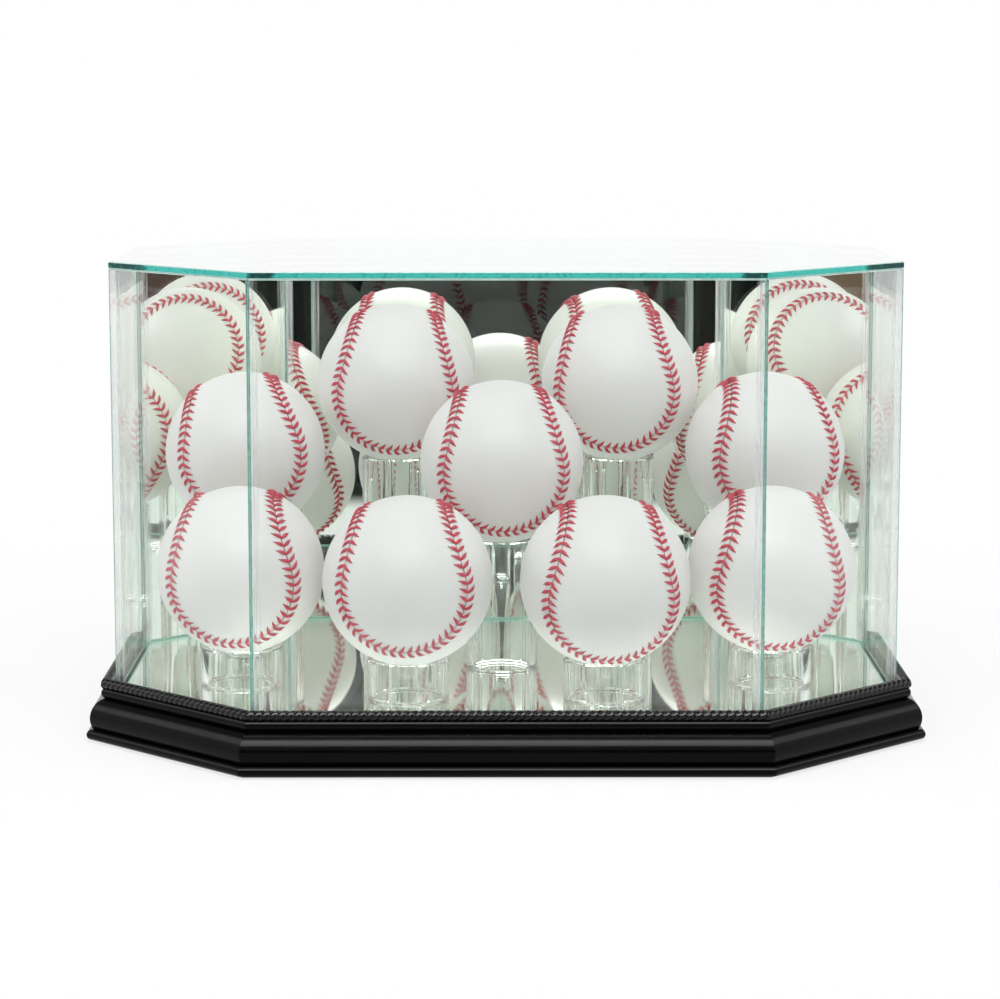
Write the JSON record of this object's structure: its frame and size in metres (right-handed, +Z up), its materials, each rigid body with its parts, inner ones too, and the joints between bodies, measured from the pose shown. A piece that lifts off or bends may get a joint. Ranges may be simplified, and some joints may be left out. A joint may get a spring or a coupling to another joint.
{
  "type": "baseball display case",
  "caption": "Octagonal glass case on a black moulded base, with mirror back and floor. Baseballs stand in stepped rows on clear tubes under a cover that lifts off.",
  "frame": {"origin": "on the surface the case stands on, under the middle of the base", "axes": "+X across the width to the viewer's right, +Y from the front to the mirror back, +Z up"},
  "size_m": [0.3672, 0.2592, 0.2095],
  "materials": {
    "black_lacquer": "black satin lacquer",
    "board": "black stained board",
    "felt": "black felt",
    "floor_mirror_glass": "silvered glass",
    "mirror_glass": "silvered glass",
    "clear_glass": "polished, green at the edges",
    "clear_acrylic": "clear and polished",
    "white_leather": "smooth white leather with red stitching"
  },
  "bodies": {
    "base": {"base_felt": "felt", "base_board": "board", "floor_mirror": "floor_mirror_glass", "rail_front": "black_lacquer", "rail_front_right": "black_lacquer", "rail_right": "black_lacquer", "rail_rear_right": "black_lacquer", "rail_rear": "black_lacquer", "rail_rear_left": "black_lacquer", "rail_left": "black_lacquer", "rail_front_left": "black_lacquer"},
    "cover": {"pane_front": "clear_glass", "pane_front_right": "clear_glass", "pane_right": "clear_glass", "mirror_rear_right": "mirror_glass", "mirror_rear": "mirror_glass", "mirror_rear_left": "mirror_glass", "pane_left": "clear_glass", "pane_front_left": "clear_glass", "lid": "clear_glass"},
    "riser_front_1": {"riser_front_1": "clear_acrylic"},
    "ball_front_1": {"ball_front_1": "white_leather"},
    "riser_front_2": {"riser_front_2": "clear_acrylic"},
    "ball_front_2": {"ball_front_2": "white_leather"},
    "riser_front_3": {"riser_front_3": "clear_acrylic"},
    "ball_front_3": {"ball_front_3": "white_leather"},
    "riser_front_4": {"riser_front_4": "clear_acrylic"},
    "ball_front_4": {"ball_front_4": "white_leather"},
    "riser_middle_1": {"riser_middle_1": "clear_acrylic"},
    "ball_middle_1": {"ball_middle_1": "white_leather"},
    "riser_middle_2": {"riser_middle_2": "clear_acrylic"},
    "ball_middle_2": {"ball_middle_2": "white_leather"},
    "riser_middle_3": {"riser_middle_3": "clear_acrylic"},
    "ball_middle_3": {"ball_middle_3": "white_leather"},
    "riser_rear_1": {"riser_rear_1": "clear_acrylic"},
    "ball_rear_1": {"ball_rear_1": "white_leather"},
    "riser_rear_2": {"riser_rear_2": "clear_acrylic"},
    "ball_rear_2": {"ball_rear_2": "white_leather"}
  },
  "joints": [
    {"name": "cover_lift", "type": "slide", "parent": "base", "child": "cover", "axis": [0, 0, 1], "range_m": [0, 0.2]},
    {"name": "riser_front_1_lift", "type": "slide", "parent": "base", "child": "riser_front_1", "axis": [0, 0, 1], "range_m": [0, 0.012]},
    {"name": "ball_front_1_lift", "type": "slide", "parent": "riser_front_1", "child": "ball_front_1", "axis": [0, 0, 1], "range_m": [0, 0.012]},
    {"name": "riser_front_2_lift", "type": "slide", "parent": "base", "child": "riser_front_2", "axis": [0, 0, 1], "range_m": [0, 0.012]},
    {"name": "ball_front_2_lift", "type": "slide", "parent": "riser_front_2", "child": "ball_front_2", "axis": [0, 0, 1], "range_m": [0, 0.012]},
    {"name": "riser_front_3_lift", "type": "slide", "parent": "base", "child": "riser_front_3", "axis": [0, 0, 1], "range_m": [0, 0.012]},
    {"name": "ball_front_3_lift", "type": "slide", "parent": "riser_front_3", "child": "ball_front_3", "axis": [0, 0, 1], "range_m": [0, 0.012]},
    {"name": "riser_front_4_lift", "type": "slide", "parent": "base", "child": "riser_front_4", "axis": [0, 0, 1], "range_m": [0, 0.012]},
    {"name": "ball_front_4_lift", "type": "slide", "parent": "riser_front_4", "child": "ball_front_4", "axis": [0, 0, 1], "range_m": [0, 0.012]},
    {"name": "riser_middle_1_lift", "type": "slide", "parent": "base", "child": "riser_middle_1", "axis": [0, 0, 1], "range_m": [0, 0.012]},
    {"name": "ball_middle_1_lift", "type": "slide", "parent": "riser_middle_1", "child": "ball_middle_1", "axis": [0, 0, 1], "range_m": [0, 0.012]},
    {"name": "riser_middle_2_lift", "type": "slide", "parent": "base", "child": "riser_middle_2", "axis": [0, 0, 1], "range_m": [0, 0.012]},
    {"name": "ball_middle_2_lift", "type": "slide", "parent": "riser_middle_2", "child": "ball_middle_2", "axis": [0, 0, 1], "range_m": [0, 0.012]},
    {"name": "riser_middle_3_lift", "type": "slide", "parent": "base", "child": "riser_middle_3", "axis": [0, 0, 1], "range_m": [0, 0.012]},
    {"name": "ball_middle_3_lift", "type": "slide", "parent": "riser_middle_3", "child": "ball_middle_3", "axis": [0, 0, 1], "range_m": [0, 0.012]},
    {"name": "riser_rear_1_lift", "type": "slide", "parent": "base", "child": "riser_rear_1", "axis": [0, 0, 1], "range_m": [0, 0.012]},
    {"name": "ball_rear_1_lift", "type": "slide", "parent": "riser_rear_1", "child": "ball_rear_1", "axis": [0, 0, 1], "range_m": [0, 0.012]},
    {"name": "riser_rear_2_lift", "type": "slide", "parent": "base", "child": "riser_rear_2", "axis": [0, 0, 1], "range_m": [0, 0.012]},
    {"name": "ball_rear_2_lift", "type": "slide", "parent": "riser_rear_2", "child": "ball_rear_2", "axis": [0, 0, 1], "range_m": [0, 0.012]}
  ]
}
